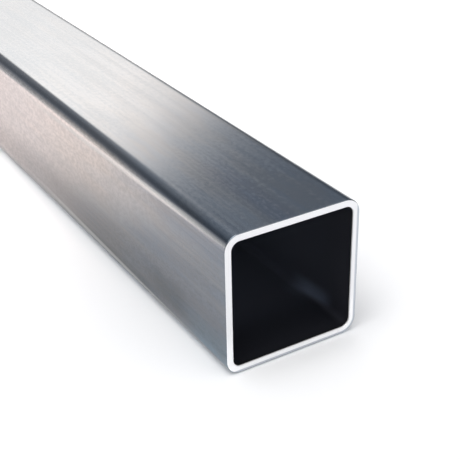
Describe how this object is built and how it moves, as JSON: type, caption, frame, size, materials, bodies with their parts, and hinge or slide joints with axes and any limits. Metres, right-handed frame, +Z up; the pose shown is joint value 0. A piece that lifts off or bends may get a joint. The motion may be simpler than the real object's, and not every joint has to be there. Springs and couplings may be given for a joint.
{
  "type": "square metal tube",
  "caption": "Straight square steel hollow section with rounded bends, sawn square and open at both ends, for frames and posts.",
  "frame": {"origin": "middle of the flat side that the tube lies on, half way along its length", "axes": "+Y along the tube towards its back end, +Z up, +X to the right when looking along +Y"},
  "size_m": [0.06, 1, 0.06],
  "materials": {
    "mill_steel": "bright cold-rolled skin with fine lines along the tube, freshly sawn ends and a dark bore"
  },
  "bodies": {
    "root": {"square_tube": "mill_steel"}
  },
  "joints": []
}
